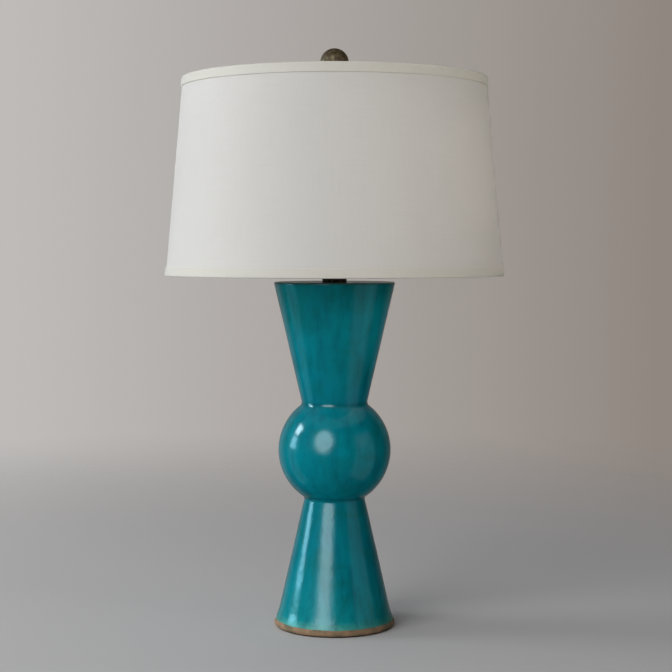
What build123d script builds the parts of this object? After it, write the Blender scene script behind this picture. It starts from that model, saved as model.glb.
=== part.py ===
from build123d import *
from math import atan2, cos, degrees, hypot, radians, sin, sqrt
import os

# Table lamp with a drum shade.
#
# A slip-cast ceramic body, shaped as a cone, a ball and an upturned cone, is clamped
# on a threaded pipe. The pipe carries a collar, a harp saddle and a bulb socket. The
# harp stands in the saddle and holds the shade on a swivel stud, and a ball finial
# screws down on the stud.
#
# Millimetres, +Z up. The origin is on the lamp's axis, under the felt pad. The front
# faces -Y and the cord enters at the back, at +Y.

# ---------------------------------------------------------------- driving dimensions

# ceramic body, outside
foot_radius = 82.0
foot_rim_height = 3.6
foot_edge_round = 2.5
foot_rim_round = 3.0
flare_radius = 77.0
flare_height = 14.4
flare_round = 50.0
lower_neck_radius = 40.5
lower_neck_height = 174.1
lower_neck_round = 5.0
ball_radius = 76.2
upper_neck_radius = 43.7
upper_neck_round = 7.0
upper_cone_height = 165.7
top_radius = 82.2
top_edge_round = 2.2

# ceramic body, inside
wall = 7.0
top_thickness = 8.0
foot_ring_width = 16.0
foot_recess_depth = 14.0
ledge_thickness = 6.0
ledge_width = 14.0

# felt pad and bottom plate
felt_thickness = 1.6
felt_margin = 3.0
plate_thickness = 2.0
plate_margin = 4.0
plate_cord_hole_radius = 5.5
plate_cord_hole_offset = 38.0

# cord bushing
cord_height = 34.0
cord_bore_radius = 3.6
bushing_wall = 1.5
bushing_flange_width = 3.4
bushing_flange_thickness = 1.8
bushing_lip_width = 0.8
bushing_lip_thickness = 1.3
bushing_edge = 0.6

# threaded pipe and what is clamped on it
pipe_radius = 4.9
pipe_bore_radius = 3.2
pipe_end_length = 2.0
pipe_top_length = 9.0
washer_radius = 14.0
washer_thickness = 1.5
lock_washer_radius = 8.6
lock_washer_thickness = 1.8
lock_washer_slit = 1.4
nut_flats = 14.3
nut_thickness = 4.8
nut_chamfer = 0.6
locknut_thickness = 3.5
collar_radius = 16.45
collar_height = 12.0
collar_groove_depth = 0.9
collar_groove_height = 3.0
collar_edge_round = 0.8
check_ring_radius = 14.0
check_ring_thickness = 2.0

# harp saddle
saddle_half_span = 28.6
saddle_width = 12.0
saddle_metal = 1.6
wing_height = 8.0
shelf_reach = 4.8
tongue_width = 4.4
tongue_height = 22.0

# bulb socket, built outwards from its screw shell
screw_shell_radius = 13.3
screw_shell_metal = 0.4
core_margin = 0.8
socket_metal = 0.5
cap_metal = 0.9
cap_hub_radius = 9.0
cap_hub_height = 5.6
cap_flare_height = 7.0
cap_height = 20.5
shell_height = 51.0
shell_seat_depth = 7.0
shell_bead_radius = 1.1
liner_thickness = 0.8
liner_end_gap = 1.0
core_height = 26.0
core_end_gap = 2.0
cap_edge_round = 3.0
cap_neck_round = 2.0
contact_width = 5.0
contact_length = 14.0
contact_height = 2.7
contact_metal = 0.7
contact_to_bulb = 0.4
terminal_rise = 5.5
terminal_flat_height = 9.0
terminal_depth = 2.6
terminal_screw_radius = 3.0
terminal_screw_head = 1.6
terminal_screw_shank_radius = 1.4
terminal_screw_shank = 5.0
set_screw_radius = 1.8
set_screw_length = 6.5
screw_slot_width = 0.8
screw_slot_depth = 0.6

# socket switch
switch_height = 12.0
switch_shaft_radius = 2.0
switch_shaft_depth = 8.0
shaft_hole_play = 1.2
knob_gap = 2.5
knob_radius = 5.6
knob_barrel_length = 5.0
knob_paddle_length = 11.0
knob_paddle_width = 4.4
knob_paddle_height = 12.4
knob_paddle_round = 1.8

# bulb
bulb_cap_height = 19.0
bulb_thread_pitch = 25.4 / 7
bulb_thread_depth = 0.9
bulb_groove_mouth = 3.0
bulb_groove_floor = 1.2
bulb_tip_radius = 4.6
bulb_tip_height = 1.2
bulb_insulator_height = 4.0
bulb_insulator_step = 3.0
bulb_housing_step = 0.65
bulb_housing_flare = 1.0
bulb_housing_neck = 4.0
bulb_housing_round = 12.0
bulb_housing_height = 33.0
bulb_dome_base_radius = 26.4
bulb_radius = 30.0
bulb_centre_height = 20.0
bulb_glass = 1.4

# harp
harp_height = 245.0
harp_wire_radius = 2.0
harp_foot_gap = 0.2
leg_length = 46.0
bow_radius = 57.0
bow_rise = 52.0
shoulder_drop = 70.5
shoulder_radius = 34.0
leg_bend = 25.0
bow_bend = 30.0
shoulder_bend = 14.0
crown_length = 24.0
crown_width = 11.0
crown_thickness = 2.6
crown_corner = 3.5

# harp ferrules
ferrule_metal = 1.1
ferrule_length = 16.0
ferrule_edge_round = 0.5

# swivel stud
stud_shank_radius = 3.1
stud_head_radius = 5.0
stud_head_height = 1.6
stud_seat_radius = 8.0
stud_seat_height = 2.0
stud_post_length = 14.7
stud_post_chamfer = 1.0

# shade
shade_height = 264.0
shade_bottom_radius = 228.6
shade_top_radius = 204.8
spider_drop = 10.0
trim_height = 12.7
trim_thickness = 1.6
trim_fold = 0.9
trim_lining = 0.7
trim_inner_height = 9.0
trim_edge_round = 2.0
fabric_thickness = 0.5
liner_sheet = 0.7
seam_width = 12.0
rim_wire_radius = 2.0

# spider
hub_radius = 15.5
hub_thickness = 1.6
arm_radius = 1.6
arm_count = 3
arm_rise_run = 14.0
arm_bend = 8.0
arm_root_gap = 2.0

# finial
finial_washer_radius = 9.0
finial_washer_thickness = 0.8
finial_ball_radius = 19.2
finial_neck_height = 12.8
finial_neck_base_radius = 8.2
finial_neck_waist_radius = 5.2
finial_neck_foot = 2.2
finial_neck_step = 0.6
finial_neck_top_radius = 6.0
finial_spigot_wall = 1.8
finial_spigot_height = 10.0
finial_bore_end_gap = 4.4

# named clearances
slip_fit = 0.1  # parts assembled on one another and then left alone
running_fit = 0.1  # radial play of a turning part
seat_gap = 0.05  # between flat faces that move apart
sliding_gap = 0.2  # between straight faces that slide past each other
pipe_hole_play = 2.1  # the pipe passes the ceramic top with room for glaze and warp
notch_play = 0.8  # round the spider's arms where they enter the top trim
thread_play = 0.35  # between the bulb's cap and the screw shell
ferrule_play = 0.1  # round the harp's foot and the saddle's tongue inside a ferrule
hub_hole_play = 0.9  # the spider hub drops over the stud
washer_hole_play = 0.3  # the finial washer slides along the stud

# ------------------------------------------------------------------- derived places

foot_z = felt_thickness
ledge_z = foot_z + foot_recess_depth
cavity_floor_z = ledge_z + ledge_thickness
flare_z = foot_z + flare_height
lower_neck_z = foot_z + lower_neck_height
ball_z = lower_neck_z + sqrt(ball_radius**2 - lower_neck_radius**2)
upper_neck_z = ball_z + sqrt(ball_radius**2 - upper_neck_radius**2)
body_top_z = upper_neck_z + upper_cone_height

recess_radius = foot_radius - foot_ring_width
ledge_radius = recess_radius - ledge_width
lower_slope = (flare_radius - lower_neck_radius) / (lower_neck_z - flare_z)
upper_slope = (top_radius - upper_neck_radius) / upper_cone_height

plate_bottom_z = ledge_z - plate_thickness
washer_bottom_z = plate_bottom_z - washer_thickness
lock_washer_bottom_z = washer_bottom_z - lock_washer_thickness
nut_bottom_z = lock_washer_bottom_z - nut_thickness
pipe_bottom_z = nut_bottom_z - pipe_end_length

collar_top_z = body_top_z + collar_height
check_ring_top_z = collar_top_z + check_ring_thickness
saddle_top_z = check_ring_top_z + saddle_metal
locknut_top_z = saddle_top_z + locknut_thickness
pipe_top_z = locknut_top_z + pipe_top_length
shelf_top_z = check_ring_top_z + wing_height
tongue_top_z = saddle_top_z + tongue_height

cap_bottom_z = locknut_top_z + seat_gap
cap_top_z = cap_bottom_z + cap_height
shell_bottom_z = cap_top_z - shell_seat_depth
shell_top_z = shell_bottom_z + shell_height
core_radius = screw_shell_radius + screw_shell_metal + core_margin
liner_outer_radius = core_radius + slip_fit + liner_thickness
socket_radius = liner_outer_radius + slip_fit + socket_metal
core_bottom_z = shell_bottom_z + core_end_gap
core_top_z = core_bottom_z + core_height
terminal_z = core_bottom_z + terminal_rise
terminal_flat_x = core_radius - terminal_depth
switch_z = core_bottom_z + switch_height

bulb_cap_radius = screw_shell_radius - thread_play
bulb_bottom_z = core_top_z + contact_height + contact_to_bulb
bulb_cap_bottom_z = bulb_bottom_z + bulb_tip_height + bulb_insulator_height
bulb_cap_top_z = bulb_cap_bottom_z + bulb_cap_height
dome_base_z = bulb_cap_top_z + bulb_housing_height
bulb_centre_z = dome_base_z + bulb_centre_height

leg_x = saddle_half_span + sliding_gap + harp_wire_radius
hub_seat_z = saddle_top_z + harp_height
crown_z = hub_seat_z - seat_gap - stud_seat_height - running_fit - crown_thickness / 2
ferrule_x = (saddle_half_span - saddle_metal + leg_x + harp_wire_radius) / 2
ferrule_load = leg_x + harp_wire_radius - ferrule_x
ferrule_bore_radius = hypot(ferrule_load, tongue_width / 2) + ferrule_play
ferrule_bottom_z = shelf_top_z + sliding_gap

stud_post_top_z = hub_seat_z - seat_gap + stud_post_length
hub_top_z = hub_seat_z + hub_thickness
hub_hole_radius = stud_shank_radius + hub_hole_play
arm_root_radius = finial_washer_radius + arm_root_gap
shade_top_z = hub_top_z + spider_drop
shade_bottom_z = shade_top_z - shade_height
shade_slope = (shade_bottom_radius - shade_top_radius) / shade_height
liner_inset = trim_thickness + fabric_thickness
rim_wire_inset = liner_inset + liner_sheet + slip_fit + rim_wire_radius
trim_lining_inset = rim_wire_inset + rim_wire_radius + slip_fit
rim_wire_depth = trim_fold + slip_fit + rim_wire_radius
top_ring_z = shade_top_z - rim_wire_depth
bottom_ring_z = shade_bottom_z + rim_wire_depth

finial_washer_hole_radius = stud_shank_radius + washer_hole_play
finial_bore_radius = stud_shank_radius + running_fit
finial_bore_top_z = stud_post_top_z + finial_bore_end_gap
finial_spigot_radius = finial_bore_radius + finial_spigot_wall
finial_washer_bottom_z = hub_top_z + seat_gap
finial_bottom_z = finial_washer_bottom_z + finial_washer_thickness + seat_gap
finial_neck_top_z = finial_bottom_z + finial_neck_height
finial_ball_z = finial_neck_top_z + sqrt(finial_ball_radius**2 - finial_neck_top_radius**2)

# --------------------------------------------------------------------------- helpers

UPWARDS = (Align.CENTER, Align.CENTER, Align.MIN)
CORNER = (Align.MIN, Align.MIN)


def turned(section):
    """A solid turned about the lamp's axis from a section drawn as (radius, height)."""
    return revolve(Plane.XZ * section, Axis.Z)


def outline(*points):
    """A closed section through (radius, height) points."""
    return Polygon(*points, align=None)


def band(inner, outer, bottom, top):
    """A rectangular section between two radii and two heights."""
    return Pos(inner, bottom) * Rectangle(outer - inner, top - bottom, align=CORNER)


def disc(radius, bottom, top, hole=0.0):
    """A round plate or tube between two heights, with an optional hole."""
    return turned(band(hole, radius, bottom, top))


def rounded(section, point, radius):
    """The section with the corner nearest to a point rounded."""
    corner = section.vertices().sort_by_distance((point[0], point[1], 0))[0]
    return fillet(corner, radius)


def hexagon_nut(bottom, thickness):
    """A hexagon nut for the lamp pipe, with its corners taken off."""
    hexagon = RegularPolygon(nut_flats / 2, 6, major_radius=False)
    blank = extrude(Pos(0, 0, bottom) * hexagon, thickness)
    corner_radius = nut_flats / 2 / cos(radians(30))
    top = bottom + thickness
    trimmed = outline(
        (pipe_radius + slip_fit, bottom),
        (nut_flats / 2, bottom),
        (corner_radius, bottom + nut_chamfer),
        (corner_radius, top - nut_chamfer),
        (nut_flats / 2, top),
        (pipe_radius + slip_fit, top),
    )
    return blank & turned(trimmed)


def lower_radius(z):
    """Outside radius of the lower cone at a height."""
    return lower_neck_radius + lower_slope * (lower_neck_z - z)


def upper_radius(z):
    """Outside radius of the upper cone at a height."""
    return upper_neck_radius + upper_slope * (z - upper_neck_z)


def shade_radius(z, inset):
    """Radius on the shade's slanted side at a height, this far inside the trims."""
    return shade_bottom_radius - shade_slope * (z - shade_bottom_z) - inset


def slanted(inset, thickness, bottom, top):
    """A section of one layer of the shade's side between two heights."""
    return outline(
        (shade_radius(bottom, inset), bottom),
        (shade_radius(top, inset), top),
        (shade_radius(top, inset + thickness), top),
        (shade_radius(bottom, inset + thickness), bottom),
    )


# ---------------------------------------------------------------------- ceramic body

cord_tilt = atan2(lower_slope, 1.0)
cord_plane = Plane(
    origin=(0, lower_radius(cord_height), cord_height),
    x_dir=(1, 0, 0),
    z_dir=(0, cos(cord_tilt), sin(cord_tilt)),
)
bushing_radius = cord_bore_radius + bushing_wall


def body_outside():
    lower = outline(
        (0, foot_z),
        (foot_radius, foot_z),
        (foot_radius, foot_z + foot_rim_height),
        (flare_radius, flare_z),
        (lower_neck_radius, lower_neck_z),
        (0, lower_neck_z),
    )
    lower = rounded(lower, (flare_radius, flare_z), flare_round)
    lower = rounded(lower, (foot_radius, foot_z + foot_rim_height), foot_rim_round)
    lower = rounded(lower, (foot_radius, foot_z), foot_edge_round)
    ball = Pos(0, ball_z) * Circle(ball_radius)
    ball = ball & band(0, ball_radius, ball_z - ball_radius, ball_z + ball_radius)
    upper = outline(
        (0, upper_neck_z),
        (upper_neck_radius, upper_neck_z),
        (top_radius, body_top_z),
        (0, body_top_z),
    )
    section = lower + ball + upper
    section = rounded(section, (lower_neck_radius, lower_neck_z), lower_neck_round)
    section = rounded(section, (upper_neck_radius, upper_neck_z), upper_neck_round)
    return rounded(section, (top_radius, body_top_z), top_edge_round)


def body_cavity():
    ceiling_z = body_top_z - top_thickness
    lower = outline(
        (0, cavity_floor_z),
        (lower_radius(cavity_floor_z) - wall, cavity_floor_z),
        (lower_neck_radius - wall, lower_neck_z),
        (0, lower_neck_z),
    )
    upper = outline(
        (0, upper_neck_z),
        (upper_neck_radius - wall, upper_neck_z),
        (upper_radius(ceiling_z) - wall, ceiling_z),
        (0, ceiling_z),
    )
    inner_ball_radius = ball_radius - wall
    ball = Pos(0, ball_z) * Circle(inner_ball_radius)
    ball = ball & band(0, inner_ball_radius, ball_z - inner_ball_radius, ball_z + inner_ball_radius)
    lower_throat = band(0, lower_neck_radius - wall, lower_neck_z - 1, ball_z)
    upper_throat = band(0, upper_neck_radius - wall, ball_z, upper_neck_z + 1)
    return lower + lower_throat + ball + upper_throat + upper


def ceramic_body():
    foot_recess = band(0, recess_radius, foot_z, ledge_z)
    ledge_hole = band(0, ledge_radius, ledge_z, cavity_floor_z)
    pipe_hole = band(0, pipe_radius + pipe_hole_play, body_top_z - top_thickness, body_top_z)
    clay = turned(body_outside()) - turned(body_cavity() + foot_recess + ledge_hole + pipe_hole)
    cord_hole = cord_plane * Cylinder(bushing_radius + slip_fit, 4 * wall)
    return clay - cord_hole


def cord_bushing():
    flange_radius = bushing_radius + bushing_flange_width
    # the flat flange starts below the curved wall and is cut to its surface
    flange = Pos(0, 0, -wall / 2) * Cylinder(
        flange_radius, wall / 2 + bushing_flange_thickness, align=UPWARDS
    )
    flange = chamfer(flange.edges().group_by(Axis.Z)[-1], bushing_edge)
    flange -= turned_cone_for_bushing()
    barrel_length = wall + sliding_gap + bushing_lip_thickness
    barrel = Pos(0, 0, -barrel_length) * Cylinder(bushing_radius, barrel_length, align=UPWARDS)
    lip = Pos(0, 0, -barrel_length) * Cylinder(
        bushing_radius + bushing_lip_width, bushing_lip_thickness, align=UPWARDS
    )
    bore = Cylinder(cord_bore_radius, 6 * wall)
    return cord_plane * (flange + barrel + lip - bore)


def turned_cone_for_bushing():
    """The lower cone's outside, seen from the bushing's own plane."""
    reach = 30.0
    cone = turned(
        outline(
            (0, cord_height - reach),
            (lower_radius(cord_height - reach), cord_height - reach),
            (lower_radius(cord_height + reach), cord_height + reach),
            (0, cord_height + reach),
        )
    )
    return cord_plane.to_local_coords(cone)


def felt_pad():
    return disc(foot_radius - felt_margin, 0, felt_thickness)


# ------------------------------------------------------ hardware under and on the body


def bottom_plate():
    plate = disc(recess_radius - plate_margin, plate_bottom_z, ledge_z, pipe_radius + slip_fit)
    hole = Pos(0, plate_cord_hole_offset, plate_bottom_z) * Cylinder(
        plate_cord_hole_radius, plate_thickness, align=UPWARDS
    )
    return plate - hole


def flat_washer():
    return disc(washer_radius, washer_bottom_z, plate_bottom_z, pipe_radius + slip_fit)


def lock_washer():
    ring = disc(lock_washer_radius, lock_washer_bottom_z, washer_bottom_z, pipe_radius + slip_fit)
    slit = Pos(lock_washer_radius, 0, lock_washer_bottom_z) * Box(
        2 * (lock_washer_radius - pipe_radius), lock_washer_slit, 3 * lock_washer_thickness
    )
    return ring - slit


def pipe_nut():
    return hexagon_nut(nut_bottom_z, nut_thickness)


def lamp_pipe():
    return disc(pipe_radius, pipe_bottom_z, pipe_top_z, pipe_bore_radius)


def neck_collar():
    groove_middle = body_top_z + collar_height / 2
    section = band(pipe_radius + slip_fit, collar_radius, body_top_z, collar_top_z)
    section -= outline(
        (collar_radius, groove_middle - collar_groove_height / 2),
        (collar_radius - collar_groove_depth, groove_middle),
        (collar_radius, groove_middle + collar_groove_height / 2),
    )
    section = rounded(section, (collar_radius, body_top_z), collar_edge_round)
    section = rounded(section, (collar_radius, collar_top_z), collar_edge_round)
    return turned(section)


def check_ring():
    return disc(check_ring_radius, collar_top_z, check_ring_top_z, pipe_radius + slip_fit)


def pipe_locknut():
    return hexagon_nut(saddle_top_z, locknut_thickness)


def harp_saddle():
    inner_x = saddle_half_span - saddle_metal
    saddle = Pos(0, 0, check_ring_top_z) * Box(
        2 * saddle_half_span, saddle_width, saddle_metal, align=UPWARDS
    )
    for side in (-1, 1):
        middle_x = side * (inner_x + saddle_metal / 2)
        wing = Pos(middle_x, 0, check_ring_top_z) * Box(
            saddle_metal, saddle_width, wing_height, align=UPWARDS
        )
        shelf = Pos(side * (inner_x + (saddle_metal + shelf_reach) / 2), 0, shelf_top_z) * Box(
            saddle_metal + shelf_reach,
            saddle_width,
            saddle_metal,
            align=(Align.CENTER, Align.CENTER, Align.MAX),
        )
        tongue = Pos(middle_x, 0, shelf_top_z) * Box(
            saddle_metal, tongue_width, tongue_top_z - shelf_top_z, align=UPWARDS
        )
        saddle += wing + shelf + tongue
    return saddle - Pos(0, 0, check_ring_top_z) * Cylinder(pipe_radius + slip_fit, 4 * saddle_metal)


# ----------------------------------------------------------------------- bulb socket


def socket_cap():
    outer_radius = socket_radius + slip_fit + cap_metal
    hub_top = cap_bottom_z + cap_hub_height
    flare_top = hub_top + cap_flare_height
    section = outline(
        (pipe_radius + slip_fit, cap_bottom_z),
        (cap_hub_radius, cap_bottom_z),
        (cap_hub_radius, hub_top),
        (outer_radius, flare_top),
        (outer_radius, cap_top_z),
        (outer_radius - cap_metal, cap_top_z),
        (outer_radius - cap_metal, flare_top + cap_metal / 2),
        (cap_hub_radius - cap_metal, hub_top + cap_metal),
        (pipe_radius + slip_fit, hub_top + cap_metal),
    )
    section = rounded(section, (cap_hub_radius, hub_top), cap_neck_round)
    section = rounded(section, (outer_radius, flare_top), cap_edge_round)
    screw_hole = socket_set_screw_blank(set_screw_radius + slip_fit)
    return turned(section) - screw_hole


def socket_set_screw_blank(radius):
    place = Pos(-(pipe_radius + slip_fit), 0, cap_bottom_z + cap_hub_height / 2)
    return place * Rot(0, -90, 0) * Cylinder(radius, set_screw_length, align=UPWARDS)


def socket_set_screw():
    end_x = -(pipe_radius + slip_fit + set_screw_length)
    slot = Pos(end_x, 0, cap_bottom_z + cap_hub_height / 2) * Box(
        2 * screw_slot_depth, 4 * set_screw_radius, screw_slot_width
    )
    return socket_set_screw_blank(set_screw_radius) - slot


def shaft_hole(radius, start_radius):
    """A hole towards the front at the switch's height, from a radius outwards."""
    return Pos(0, -start_radius, switch_z) * Rot(90, 0, 0) * Cylinder(
        radius, 2 * socket_radius, align=UPWARDS
    )


def socket_shell():
    section = band(socket_radius - socket_metal, socket_radius, shell_bottom_z, shell_top_z)
    for bead_z in (cap_top_z + 2 * shell_bead_radius, shell_top_z - shell_bead_radius):
        bead = Pos(socket_radius - socket_metal, bead_z) * Circle(shell_bead_radius)
        section += bead & band(
            socket_radius - socket_metal,
            socket_radius + 2 * shell_bead_radius,
            bead_z - shell_bead_radius,
            bead_z + shell_bead_radius,
        )
    return turned(section) - shaft_hole(switch_shaft_radius + shaft_hole_play, core_radius)


def socket_liner():
    tube = disc(
        liner_outer_radius,
        shell_bottom_z + liner_end_gap,
        shell_top_z - liner_end_gap,
        liner_outer_radius - liner_thickness,
    )
    start_radius = core_radius - liner_thickness
    return tube - shaft_hole(switch_shaft_radius + shaft_hole_play, start_radius)


def socket_core():
    core = disc(core_radius, core_bottom_z, core_top_z)
    for side in (-1, 1):
        flat = Pos(side * (terminal_flat_x + core_radius), 0, terminal_z) * Box(
            2 * core_radius, 2 * core_radius, terminal_flat_height
        )
        core -= flat
        core -= terminal_screw(side, slip_fit)
    return core - shaft_hole(switch_shaft_radius + running_fit, core_radius - switch_shaft_depth)


def terminal_screw(side, play):
    turn = Pos(side * terminal_flat_x, 0, terminal_z) * Rot(0, side * 90, 0)
    head = Cylinder(terminal_screw_radius + play, terminal_screw_head, align=UPWARDS)
    shank = Cylinder(
        terminal_screw_shank_radius + play,
        terminal_screw_shank + play,
        align=(Align.CENTER, Align.CENTER, Align.MAX),
    )
    return turn * (head + shank)


def terminal_screws():
    screws = []
    for side in (-1, 1):
        slot = Pos(side * (terminal_flat_x + terminal_screw_head), 0, terminal_z) * Box(
            2 * screw_slot_depth, screw_slot_width, 3 * terminal_screw_radius
        )
        screws.append(terminal_screw(side, 0) - slot)
    return Compound(children=screws)


def screw_shell():
    return disc(
        screw_shell_radius + screw_shell_metal,
        core_top_z,
        shell_top_z - liner_end_gap,
        screw_shell_radius,
    )


def centre_contact():
    strip = Pos(0, 0, core_top_z) * Box(contact_length, contact_width, contact_metal, align=UPWARDS)
    step = Pos(0, 0, core_top_z) * Box(contact_width, contact_width, contact_height, align=UPWARDS)
    hollow = Pos(0, 0, core_top_z + contact_metal) * Box(
        contact_width - 2 * contact_metal,
        contact_width,
        contact_height - 2 * contact_metal,
        align=UPWARDS,
    )
    return strip + step - hollow


# ---------------------------------------------------------------------------- switch

shaft_tip_y = -(core_radius - switch_shaft_depth + running_fit)
knob_back_y = -(socket_radius + knob_gap)


def switch_shaft():
    length = shaft_tip_y - knob_back_y + knob_barrel_length
    return Pos(0, shaft_tip_y, switch_z) * Rot(90, 0, 0) * Cylinder(
        switch_shaft_radius, length, align=UPWARDS
    )


def switch_knob():
    barrel = Cylinder(knob_radius, knob_barrel_length, align=UPWARDS)
    paddle = Pos(0, 0, knob_barrel_length) * Box(
        knob_paddle_width, knob_paddle_height, knob_paddle_length, align=UPWARDS
    )
    paddle = fillet(paddle.edges().filter_by(Axis.Z), knob_paddle_round)
    paddle = fillet(paddle.edges().group_by(Axis.Z)[-1], knob_paddle_round * 0.8)
    knob = barrel + paddle - Cylinder(switch_shaft_radius, knob_barrel_length, align=UPWARDS)
    return Pos(0, knob_back_y, switch_z) * Rot(90, 0, 0) * knob


# ------------------------------------------------------------------------------ bulb


def bulb_contact():
    tip_top = bulb_bottom_z + bulb_tip_height
    section = outline(
        (0, bulb_bottom_z),
        (bulb_tip_radius, bulb_bottom_z),
        (bulb_tip_radius, tip_top),
        (bulb_cap_radius - bulb_insulator_step, bulb_cap_bottom_z - sliding_gap),
        (0, bulb_cap_bottom_z - sliding_gap),
    )
    return turned(section)


def bulb_screw_cap():
    section = band(0, bulb_cap_radius, bulb_cap_bottom_z, bulb_cap_top_z)
    turns = int(bulb_cap_height / bulb_thread_pitch)
    for turn in range(turns):
        groove_z = bulb_cap_bottom_z + (turn + 0.5) * bulb_thread_pitch
        section -= outline(
            (bulb_cap_radius, groove_z - bulb_groove_mouth / 2),
            (bulb_cap_radius - bulb_thread_depth, groove_z - bulb_groove_floor / 2),
            (bulb_cap_radius - bulb_thread_depth, groove_z + bulb_groove_floor / 2),
            (bulb_cap_radius, groove_z + bulb_groove_mouth / 2),
        )
    return turned(section)


def bulb_housing():
    base_radius = bulb_cap_radius + bulb_housing_step
    neck = (base_radius + bulb_housing_flare, bulb_cap_top_z + bulb_housing_neck)
    section = outline(
        (0, bulb_cap_top_z),
        (base_radius, bulb_cap_top_z),
        neck,
        (bulb_dome_base_radius, dome_base_z),
        (0, dome_base_z),
    )
    return turned(rounded(section, neck, bulb_housing_round))


def bulb_dome():
    neck_z = bulb_centre_z - sqrt(bulb_radius**2 - bulb_dome_base_radius**2)
    above_neck = band(0, bulb_radius, neck_z, bulb_centre_z + bulb_radius)
    shells = []
    for inset in (0, bulb_glass):
        globe = Pos(0, bulb_centre_z) * Circle(bulb_radius - inset) & above_neck
        skirt = band(0, bulb_dome_base_radius - inset, dome_base_z, neck_z + inset)
        shells.append(globe + skirt)
    return turned(shells[0] - shells[1])


# ------------------------------------------------------------------ harp and its stud


def harp():
    bow_start_z = shelf_top_z + leg_length
    right = [
        (leg_x, shelf_top_z + harp_foot_gap),
        (leg_x, bow_start_z),
        (bow_radius, bow_start_z + bow_rise),
        (bow_radius, crown_z - shoulder_drop),
        (shoulder_radius, crown_z),
    ]
    left = [(-x, z) for x, z in right]
    bends = [leg_bend, bow_bend, bow_bend, shoulder_bend]
    path = FilletPolyline(
        *[(x, 0, z) for x, z in left + right[::-1]], radius=bends + bends[::-1]
    )
    wire = sweep(Plane(path @ 0, z_dir=path % 0) * Circle(harp_wire_radius), path=path)
    flattened = Pos(0, 0, crown_z) * Box(crown_length, crown_width, 4 * harp_wire_radius)
    crown = extrude(
        Pos(0, 0, crown_z - crown_thickness / 2)
        * RectangleRounded(crown_length, crown_width, crown_corner),
        crown_thickness,
    )
    eye = Pos(0, 0, crown_z) * Cylinder(stud_shank_radius + running_fit, 4 * crown_thickness)
    return wire - flattened + crown - eye


def harp_ferrule(side):
    tube = disc(
        ferrule_bore_radius + ferrule_metal,
        ferrule_bottom_z,
        ferrule_bottom_z + ferrule_length,
        ferrule_bore_radius,
    )
    rims = tube.edges().filter_by(GeomType.CIRCLE).group_by(SortBy.RADIUS)[-1]
    tube = fillet(rims, ferrule_edge_round)
    return Pos(side * ferrule_x, 0, 0) * tube


def swivel_stud():
    crown_bottom = crown_z - crown_thickness / 2
    head_top = crown_bottom - running_fit
    seat_bottom = crown_bottom + crown_thickness + running_fit
    seat_top = seat_bottom + stud_seat_height
    section = outline(
        (0, head_top - stud_head_height),
        (stud_head_radius, head_top - stud_head_height),
        (stud_head_radius, head_top),
        (stud_shank_radius, head_top),
        (stud_shank_radius, seat_bottom),
        (stud_seat_radius, seat_bottom),
        (stud_seat_radius, seat_top),
        (stud_shank_radius, seat_top),
        (stud_shank_radius, stud_post_top_z - stud_post_chamfer),
        (stud_shank_radius - stud_post_chamfer, stud_post_top_z),
        (0, stud_post_top_z),
    )
    return turned(section)


# ----------------------------------------------------------------------------- shade


def shade_layer(inset, thickness):
    """The section of a shade layer that ends inside the folded trims."""
    fold = trim_fold + slip_fit
    return slanted(inset, thickness, shade_bottom_z + fold, shade_top_z - fold)


def shade_fabric():
    return turned(shade_layer(trim_thickness, fabric_thickness))


def shade_liner():
    return turned(shade_layer(liner_inset, liner_sheet))


def shade_seam():
    section = slanted(
        trim_thickness - fabric_thickness,
        fabric_thickness,
        shade_bottom_z + trim_height,
        shade_top_z - trim_height,
    )
    angle = degrees(seam_width / shade_bottom_radius)
    strip = revolve(Plane.XZ * section, Axis.Z, revolution_arc=angle)
    return Rot(0, 0, 90 - angle / 2) * strip


def rim_ring(ring_z):
    centre_radius = shade_radius(ring_z, rim_wire_inset)
    return turned(Pos(centre_radius, ring_z) * Circle(rim_wire_radius))


def rim_trim(edge_z, inwards):
    """A folded fabric trim over one rim of the shade; inwards is +1 or -1 in height."""
    full_width = trim_lining_inset + trim_lining
    corners = [
        (0, 0),
        (0, trim_height),
        (trim_thickness, trim_height),
        (trim_thickness, trim_fold),
        (trim_lining_inset, trim_fold),
        (trim_lining_inset, trim_inner_height),
        (full_width, trim_inner_height),
        (full_width, 0),
    ]
    placed = []
    for inset, height in corners:
        z = edge_z + inwards * height
        placed.append((shade_radius(z, inset), z))
    section = outline(*placed)
    section = rounded(section, placed[0], trim_edge_round)
    return turned(rounded(section, placed[-1], trim_edge_round))


def arm_path():
    ring_radius = shade_radius(top_ring_z, rim_wire_inset)
    hub_middle = hub_seat_z + hub_thickness / 2
    return FilletPolyline(
        (arm_root_radius, 0, hub_middle),
        (ring_radius - arm_rise_run, 0, hub_middle),
        (ring_radius, 0, top_ring_z),
        radius=arm_bend,
    )


def at_each_arm(solid):
    """Copies of a solid, one for each arm; the last arm points straight back."""
    angles = [90 + (turn + 1) * 360 / arm_count for turn in range(arm_count)]
    return [Rot(0, 0, angle) * solid for angle in angles]


def spider_hub():
    return disc(hub_radius, hub_seat_z, hub_top_z, hub_hole_radius)


def spider_arms():
    path = arm_path()
    arm = sweep(Plane(path @ 0, z_dir=path % 0) * Circle(arm_radius), path=path)
    arm = arm - spider_hub() - rim_ring(top_ring_z)
    return Compound(children=at_each_arm(arm.solids().sort_by(SortBy.VOLUME)[-1]))


def top_trim():
    trim = rim_trim(shade_top_z, -1)
    notch_width = 2 * (arm_radius + notch_play)
    notch_radius = shade_radius(top_ring_z, trim_lining_inset + trim_lining / 2)
    notch = Pos(notch_radius, 0, shade_top_z - trim_fold) * Box(
        3 * trim_lining,
        notch_width,
        trim_inner_height,
        align=(Align.CENTER, Align.CENTER, Align.MAX),
    )
    for cut in at_each_arm(notch):
        trim -= cut
    return trim


def bottom_trim():
    return rim_trim(shade_bottom_z, 1)


# ---------------------------------------------------------------------------- finial


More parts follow.
